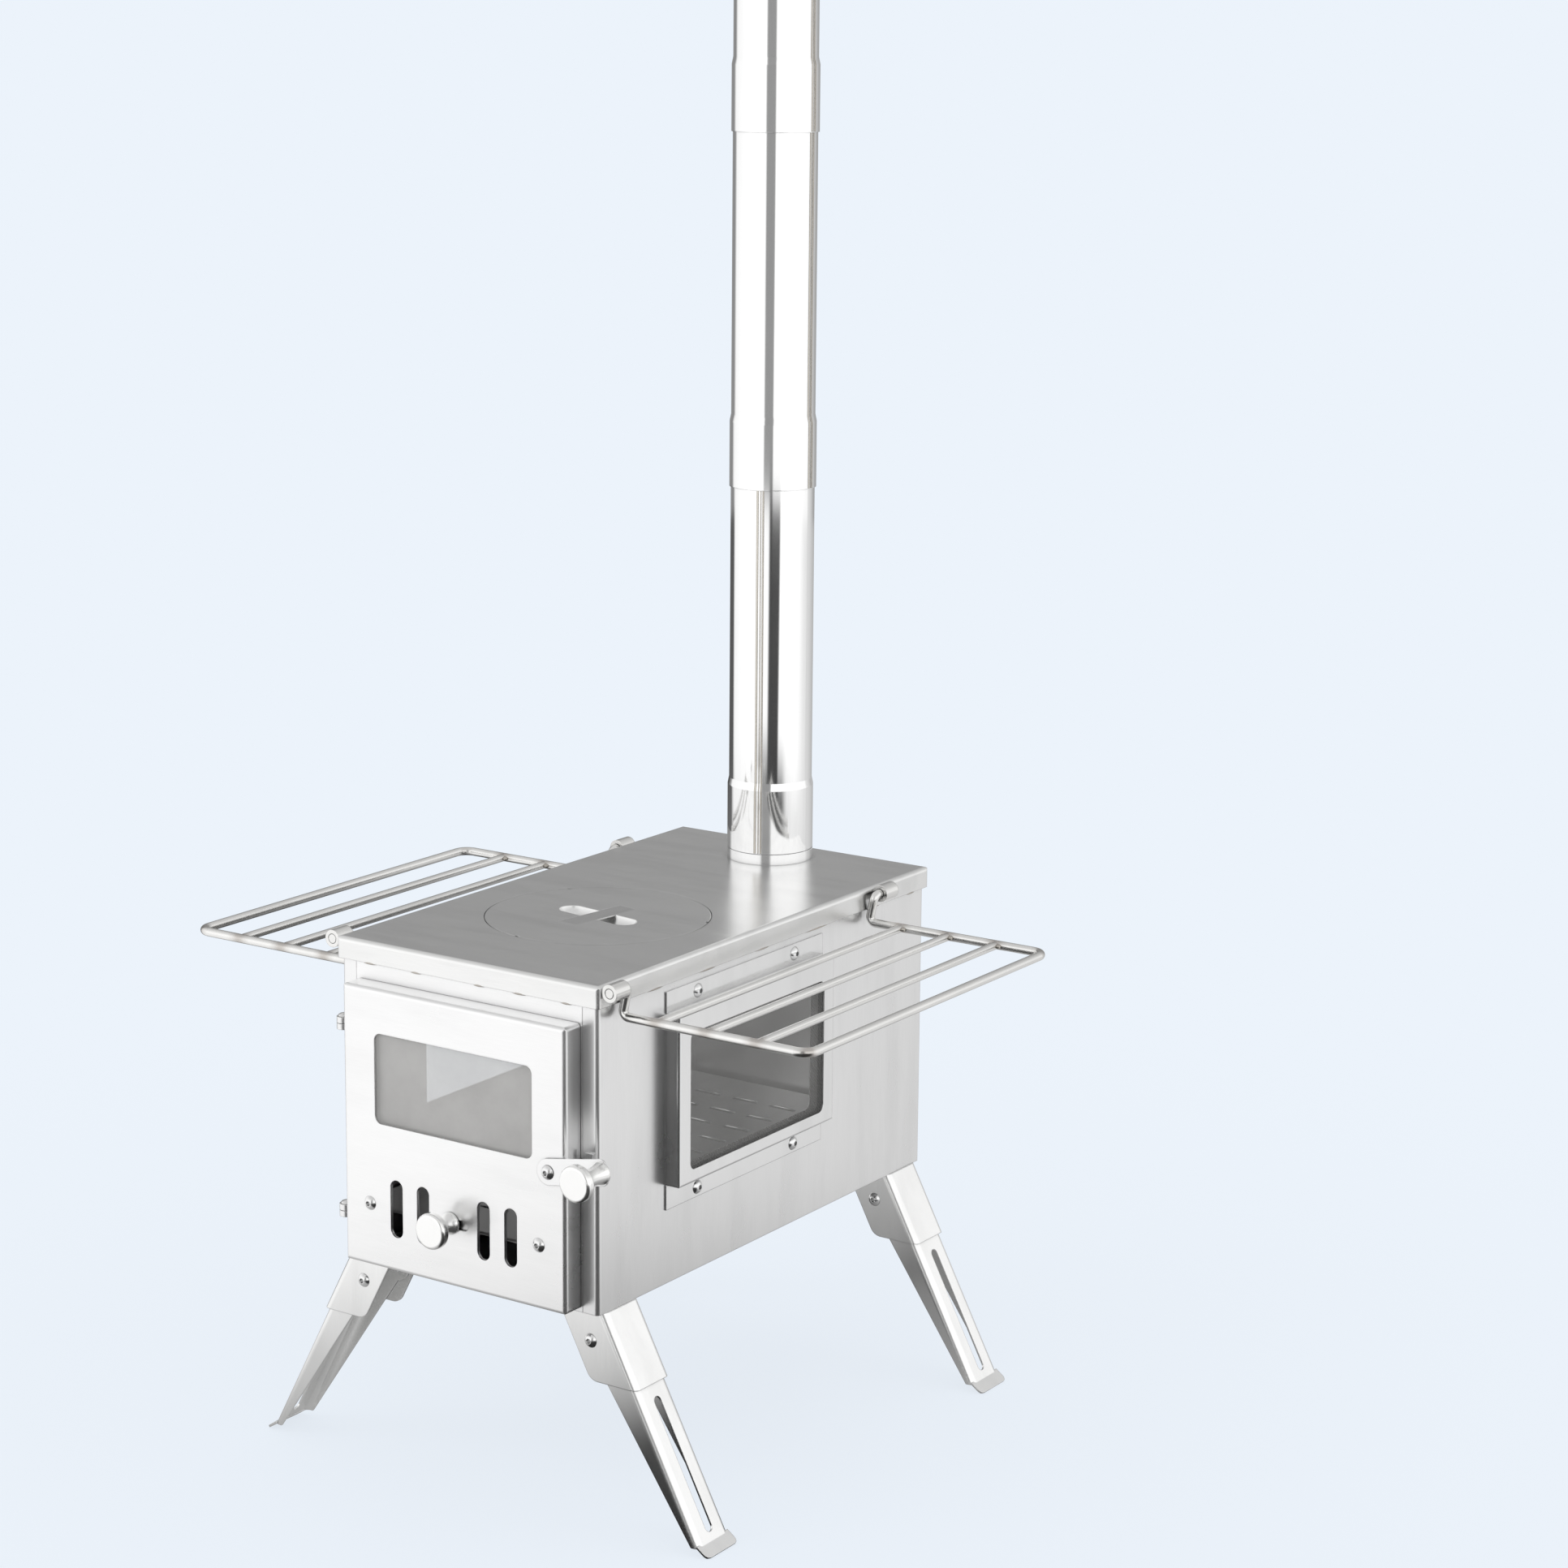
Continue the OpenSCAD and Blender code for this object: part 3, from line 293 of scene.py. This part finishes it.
# Stretch of the mill lines, for sheet rolled along each axis
ALONG_X = (60, 1500, 1500)
ALONG_Y = (1500, 60, 1500)
ALONG_Z = (1500, 1500, 60)

MATERIALS = {
    "body_steel": steel("body_steel", (0.88, 0.88, 0.88), 0.28, ALONG_Z, wave=0.3, spread=0.03),
    "plate_steel": steel(
        "plate_steel", (0.86, 0.86, 0.855), 0.26, ALONG_X, wave=0.15, spread=0.04, mottle=0.06,
    ),
    "strap_steel": steel("strap_steel", (0.76, 0.76, 0.755), 0.26, ALONG_Y),
    # The door's parts take a lighter copy of the body's steel: painted light that brightens the
    # door front, the front panel, the latch lever and the glass clamp
    "door_steel": steel(
        "door_steel", (0.92, 0.92, 0.92), 0.28, ALONG_X, wave=0.25, spread=0.03, mottle=0.04,
    ),
    "bezel_steel": steel("bezel_steel", (0.88, 0.88, 0.88), 0.18, ALONG_Z, spread=0.04),
    "pipe_steel": steel(
        "pipe_steel", (0.94, 0.94, 0.94), 0.07, ALONG_Z, wave=0.15, spread=0.02, mottle=0.02,
    ),
    "seam_steel": steel("seam_steel", (0.60, 0.57, 0.52), 0.22, ALONG_Z, spread=0.03),
    "rod_steel": steel("rod_steel", (0.84, 0.835, 0.82), 0.20, ALONG_Y, mottle=0.08, heat=True),
    "weld_steel": steel("weld_steel", (0.50, 0.47, 0.43), 0.25, ALONG_Y, spread=0.1, mottle=0.2),
    "screw_steel": steel("screw_steel", (0.86, 0.86, 0.86), 0.14, ALONG_Z, mottle=0.03),
    # Knob steel is a lighter copy of the body's steel: painted light that brightens the knob faces
    "knob_steel": steel("knob_steel", (0.95, 0.95, 0.94), 0.2, ALONG_Y, mottle=0.04),
    "grate_steel": steel("grate_steel", (0.62, 0.62, 0.62), 0.34, ALONG_Y, wave=0.3, mottle=0.1),
    # Near-white polished steel, far lighter than the grate it stands on: a painted glint, so the
    # grate lips show as bright dashes. The rear spot welds share it.
    "edge_steel": steel("edge_steel", (0.97, 0.97, 0.97), 0.1, ALONG_X, spread=0.02),
    # The legs take a lighter copy of the body's steel: painted light that brightens their outer
    # faces
    "leg_steel": steel("leg_steel", (0.93, 0.93, 0.925), 0.22, ALONG_Z, wave=0.3, mottle=0.06),
    # The door glass's haze is paler than the side glass's: partly a real milky haze, partly a
    # painted sheen that lightens the window
    "door_glass": heat_glass("door_glass", (0.73, 0.722, 0.71), 0.44),
    "heat_glass": heat_glass("heat_glass", (0.42, 0.417, 0.41), 0.2),
    "gasket_rope": rope(),
}

SLOTS = {row["node"]: row["material_slot"] for row in frame["record"]["subparts"]}

# Nodes that don't take the material of their slot
OWN = {
    "door_shell": "door_steel", "front_panel": "door_steel", "latch_lever": "door_steel",
    "glass_clamp": "door_steel", "door_glass": "door_glass", "lid_strap": "strap_steel",
    "left_bezel": "bezel_steel", "right_bezel": "bezel_steel",
}


def material_for(node):
    """The material that a node of the frame is shown in."""
    if node.endswith("_leg") or node.endswith("_bracket"):
        return MATERIALS["leg_steel"]
    return MATERIALS[OWN.get(node, SLOTS[node])]


for name, node in frame["nodes"].items():
    node.data.materials.clear()
    node.data.materials.append(material_for(name))


def piece(name, bm, material, body, smooth=True):
    """Links a finished shape that moves with a body of the frame."""
    bmesh.ops.recalc_face_normals(bm, faces=bm.faces)
    mesh = bpy.data.meshes.new(name)
    bm.to_mesh(mesh)
    bm.free()
    for polygon in mesh.polygons:
        polygon.use_smooth = smooth
    mesh.materials.append(MATERIALS[material])
    obj = bpy.data.objects.new(name, mesh)
    bpy.context.scene.collection.objects.link(obj)
    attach(obj, body)


def bead(bm, x, y, z, sizes):
    """A rounded lump with the half sizes given, in millimetres."""
    matrix = Matrix.Translation(place(x, y, z)) @ Matrix.Diagonal((*(Vector(sizes) * MM), 1))
    made = bmesh.ops.create_uvsphere(
        bm, u_segments=BEAD_AROUND, v_segments=BEAD_RINGS, radius=1, matrix=matrix,
    )
    return made["verts"]


def pipe_strip(bm, azimuth, width, profile):
    """A thin raised strip up the pipe: profile lists height and radius."""
    half = math.degrees(width / 2 / PIPE_R)
    rows = []
    for z, radius in profile:
        row = []
        for lift, turn in STRIP_SECTION:
            a = math.radians(azimuth + turn * half)
            r = radius + lift
            row.append(bm.verts.new(place(FLUE_X + r * math.sin(a), FLUE_Y - r * math.cos(a), z)))
        rows.append(row)
    last = len(STRIP_SECTION) - 1
    for low, high in zip(rows, rows[1:]):
        for i in range(last):
            bm.faces.new((low[i], low[i + 1], high[i + 1], high[i]))
        bm.faces.new((low[last], low[0], high[0], high[last]))
    bm.faces.new(rows[0])
    bm.faces.new(rows[-1])


def pipe_seams():
    """The folded seam up each pipe section."""
    for body, (base, rise) in FLUE_SECTIONS.items():
        azimuth = LOWER_SEAM_TURN if body == "flue_lower_body" else OTHER_SEAM_TURN
        profile = [
            (base + SEAM_END, SOCKET_R), (base + SOCKET_H, SOCKET_R),
            (base + SOCKET_H + TAPER_H, PIPE_R), (base + rise + SOCKET_H - SEAM_END, PIPE_R),
        ]
        bm = bmesh.new()
        for turn, width in SEAM_STRIPS:
            pipe_strip(bm, azimuth + turn, width, profile)
        piece(body.replace("_body", "_seam"), bm, "seam_steel", body, smooth=False)


def shelf_welds():
    """Small fillets where the cross rods meet the arms."""
    for side, name in ((1, "right_shelf"), (-1, "left_shelf")):
        bm = bmesh.new()
        for i in range(BAR_COUNT):
            for end in (-1, 1):
                for turn in (-1, 1):
                    x = side * (BAR_X + i * BAR_PITCH) + turn * SHELF_WELD_ASIDE
                    y = SHELF_Y + end * (ARM_Y - SHELF_WELD_INSIDE)
                    bead(bm, x, y, SHELF_Z, SHELF_WELD)
        piece(name + "_welds", bm, "weld_steel", name + "_body")


def flange_welds():
    """Short weld runs under the top plate's downturned edge."""
    bm = bmesh.new()
    for side in (-1, 1):
        for y, half in SIDE_RUNS:
            bead(bm, side * (FLANGE_X - RUN_INSET), y, FLANGE_LOW, (RUN_HALF_W, half, RUN_HALF_H))
    for x, half in END_RUNS:
        for y in (-FLANGE_Y + RUN_INSET, FLANGE_Y - RUN_INSET):
            bead(bm, x, y, FLANGE_LOW, (half, RUN_HALF_W, RUN_HALF_H))
    piece("flange_welds", bm, "weld_steel", "body")


def rear_spots():
    """Spot welds down the inside of the rear panel."""
    bm = bmesh.new()
    for z in REAR_SPOT_HEIGHTS:
        bead(bm, REAR_SPOT_X, REAR_INSIDE, z, REAR_SPOT)
    piece("rear_spots", bm, "edge_steel", "body")


def grate_lips():
    """The raised lip along each grate slot, in near-white steel as a painted glint."""
    bm = bmesh.new()
    for x in GRATE_COLUMNS:
        for row in range(-GRATE_ROWS, GRATE_ROWS + 1):
            y = row * GRATE_PITCH + GRATE_SLOT_W / 2 + LIP_OUT
            bead(bm, x, y, GRATE_Z, (GRATE_SLOT / 2, LIP_HALF_W, LIP_HALF_H))
    piece("grate_lips", bm, "edge_steel", "body")


def hinge_caps():
    """The domed ends of the hinge pins."""
    bm = bmesh.new()
    for z in HINGE_TOPS:
        verts = bead(bm, HINGE_X, HINGE_Y, z + CAP_LIFT, HINGE_CAP)
        edges = list({edge for vert in verts for edge in vert.link_edges})
        faces = list({face for vert in verts for face in vert.link_faces})
        cut = bmesh.ops.bisect_plane(
            bm, geom=verts + edges + faces, plane_co=place(0, 0, z + CAP_LIFT),
            plane_no=(0, 0, 1), clear_inner=True,
        )
        rim = [item for item in cut["geom_cut"] if isinstance(item, bmesh.types.BMEdge)]
        bmesh.ops.contextual_create(bm, geom=rim)
    piece("hinge_caps", bm, "screw_steel", "body")


pipe_seams()
shelf_welds()
flange_welds()
rear_spots()
grate_lips()
hinge_caps()


# Brightness of the studio round the stove, as shiny metal sees it. Degrees
# from the door's direction, positive to the right. The close and low rings
# lie on the floor, and the high one is the far floor and the walls.
CLOSE_RING = [
    (-180, 0.55), (-150, 0.42), (-132, 0.14), (-100, 0.14), (-86, 0.95), (-34, 1.07),
    (-8, 1.0), (6, 0.07), (70, 0.05), (84, 0.8), (100, 0.9), (132, 0.82),
    (146, 0.74), (165, 0.66), (180, 0.55),
]
LOW_RING = [
    (-180, 0.55), (-150, 0.42), (-134, 0.10), (-100, 0.10), (-92, 1.0), (-34, 1.2),
    (8, 1.2), (25, 1.1), (30, 0.07), (56, 0.07), (60, 1.2), (110, 1.2),
    (130, 0.95), (146, 0.78), (165, 0.66), (180, 0.55),
]
HIGH_RING = [
    (-180, 0.42), (-150, 0.33), (-134, 0.30), (-104, 0.25), (-92, 1.0), (-34, 1.2),
    (2, 1.2), (9, 1.15), (12, 0.32), (34, 0.32), (37, 1.2), (110, 1.2),
    (130, 1.1), (148, 1.0), (154, 0.76), (168, 0.6), (180, 0.42),
]
CEILING = (0.72, 0.72, 0.72, 1)
# How bright the world lights matt surfaces
SOFT_LIGHT = 0.82

# The floor's sizes, and where one ring passes into the next, in metres
FLOOR_RADIUS = 60
FLOOR_SEGMENTS = 96
FLOOR_DROP = 0.0005
# A ramp's factor stops at 1, so the rings' distances are in tens of metres
RAMP_SCALE = 0.1
CLOSE_TO_LOW = (0.17, 0.21)
LOW_TO_HIGH = (0.412, 0.424)


def around(n, x, y, ring):
    """The ring's brightness in the direction of x and y."""
    turn = n.math("ARCTAN2", x, n.math("MULTIPLY", y, -1.0))
    turn = n.math("MULTIPLY_ADD", turn, 0.5 / math.pi, 0.5)
    return n.ramp(turn, [(0.5 + a / 360, v) for a, v in ring])


def make_world():
    """The plain backdrop, with the studio in reflections only."""
    world = bpy.data.worlds.new("studio")
    bpy.context.scene.world = world
    world.use_nodes = True
    n = Nodes(world.node_tree)
    direction = n.add("ShaderNodeTexCoord").outputs["Generated"]
    x, y, z = n.add("ShaderNodeSeparateXYZ", {0: direction}).outputs
    walls = around(n, x, y, HIGH_RING)
    studio = n.mix(n.ramp(z, [(0.35, 0.0), (0.8, 1.0)]), walls, CEILING)
    path = n.add("ShaderNodeLightPath")
    glossy = n.add("ShaderNodeBackground", {"Color": studio, "Strength": 1.0})
    plain = n.add("ShaderNodeBackground", {"Color": BACKGROUND, "Strength": 1.0})
    soft = n.add("ShaderNodeBackground", {"Color": (1, 1, 1, 1), "Strength": SOFT_LIGHT})
    first = n.add(
        "ShaderNodeMixShader",
        {0: path.outputs["Is Glossy Ray"], 1: soft.outputs[0], 2: glossy.outputs[0]},
    )
    seen = n.math("MAXIMUM", path.outputs["Is Camera Ray"], path.outputs["Is Transmission Ray"])
    second = n.add("ShaderNodeMixShader", {0: seen, 1: first.outputs[0], 2: plain.outputs[0]})
    n.link(second.outputs[0], n.add("ShaderNodeOutputWorld").inputs[0])


def floor_glow(n, coords, distance):
    """What shiny metal sees of the floor: a painted shadow under the stove,
    then the studio's rings one after another."""
    x, y, _ = n.add("ShaderNodeSeparateXYZ", {0: coords}).outputs
    close, low, high = (around(n, x, y, ring) for ring in (CLOSE_RING, LOW_RING, HIGH_RING))
    scaled = n.math("MULTIPLY", distance, RAMP_SCALE)
    rings = n.mix(n.ramp(scaled, list(zip(CLOSE_TO_LOW, (0.0, 1.0)))), close, low)
    rings = n.mix(n.ramp(scaled, list(zip(LOW_TO_HIGH, (0.0, 1.0)))), rings, high)
    # Painted shadow: the floor's glow darkens towards the stove, as if the stove shaded it
    under = n.ramp(distance, [(0.1, 0.28), (0.35, 0.55), (0.62, 1.0)])
    return n.mix(1.0, rings, under, "MULTIPLY")


def make_floor():
    """A floor in the backdrop's colour, lit only near the stove."""
    material = bpy.data.materials.new("studio_floor")
    material.use_nodes = True
    n = Nodes(material.node_tree)
    coords = n.add("ShaderNodeTexCoord").outputs["Object"]
    distance = n.add("ShaderNodeVectorMath", {0: coords}, operation="LENGTH").outputs["Value"]
    path = n.add("ShaderNodeLightPath")
    colour = n.mix(path.outputs["Is Camera Ray"], (0.9, 0.9, 0.9, 1), BACKGROUND)
    near = n.add("ShaderNodeBsdfDiffuse", {"Color": colour})
    plain = n.add("ShaderNodeEmission", {"Color": colour, "Strength": 1.0})
    blend = n.ramp(n.math("MULTIPLY", distance, 0.5), [(0.15, 0.84), (0.6, 1.0)], "EASE")
    seen = n.add("ShaderNodeMixShader", {0: blend, 1: near.outputs[0], 2: plain.outputs[0]})
    glow = n.add("ShaderNodeEmission", {"Color": floor_glow(n, coords, distance), "Strength": 1.0})
    mixed = n.add(
        "ShaderNodeMixShader",
        {0: path.outputs["Is Glossy Ray"], 1: seen.outputs[0], 2: glow.outputs[0]},
    )
    n.link(mixed.outputs[0], n.add("ShaderNodeOutputMaterial").inputs[0])
    bm = bmesh.new()
    bmesh.ops.create_circle(bm, cap_ends=True, segments=FLOOR_SEGMENTS, radius=FLOOR_RADIUS)
    mesh = bpy.data.meshes.new("studio_floor")
    bm.to_mesh(mesh)
    bm.free()
    mesh.materials.append(material)
    floor = bpy.data.objects.new("studio_floor", mesh)
    floor.location.z = -FLOOR_DROP
    bpy.context.scene.collection.objects.link(floor)


# The point that the lights are aimed at, in metres
AIM = (0, 0, 0.3)
# Each light's place and width in metres, and its watts
LIGHTS = {
    "key_light": ((-1.6, -2.2, 2.6), 1.8, 16),
    "fill_light": ((2.4, 0.8, 2.2), 1.6, 6),
}


def area_light(name, position, size, power):
    """A round lamp aimed at the stove, left out of reflections."""
    light = bpy.data.lights.new(name, "AREA")
    light.shape = "DISK"
    light.size = size
    light.energy = power
    lamp = bpy.data.objects.new(name, light)
    lamp.location = position
    lamp.visible_glossy = False
    lamp.rotation_euler = (Vector(AIM) - Vector(position)).to_track_quat("-Z", "Y").to_euler()
    bpy.context.scene.collection.objects.link(lamp)


make_world()
make_floor()
for name, (position, size, power) in LIGHTS.items():
    area_light(name, position, size, power)


def make_camera():
    """The photograph's camera."""
    azimuth = math.radians(CAMERA_AZIMUTH)
    elevation = math.radians(CAMERA_ELEVATION)
    roll = math.radians(CAMERA_ROLL)
    back = Vector((
        math.sin(azimuth) * math.cos(elevation),
        -math.cos(azimuth) * math.cos(elevation),
        math.sin(elevation),
    ))
    right = Vector((math.cos(azimuth), math.sin(azimuth), 0))
    up = back.cross(right)
    turned_right = right * math.cos(roll) + up * math.sin(roll)
    turned_up = up * math.cos(roll) - right * math.sin(roll)
    spot = back * CAMERA_DISTANCE + right * CAMERA_RIGHT + up * CAMERA_UP
    data = bpy.data.cameras.new("camera")
    data.sensor_width = SENSOR
    data.lens = FOCAL_PIXELS * SENSOR / IMAGE
    data.shift_y = (CENTRE_ROW - IMAGE / 2) / IMAGE
    data.clip_end = CLIP_END
    camera = bpy.data.objects.new("camera", data)
    rotation = Matrix((turned_right, turned_up, back)).transposed().to_4x4()
    camera.matrix_world = Matrix.Translation(place(spot.x, spot.y, spot.z + TOP_Z)) @ rotation
    bpy.context.scene.collection.objects.link(camera)
    bpy.context.scene.camera = camera


make_camera()
bpy.context.scene.view_settings.view_transform = "Standard"
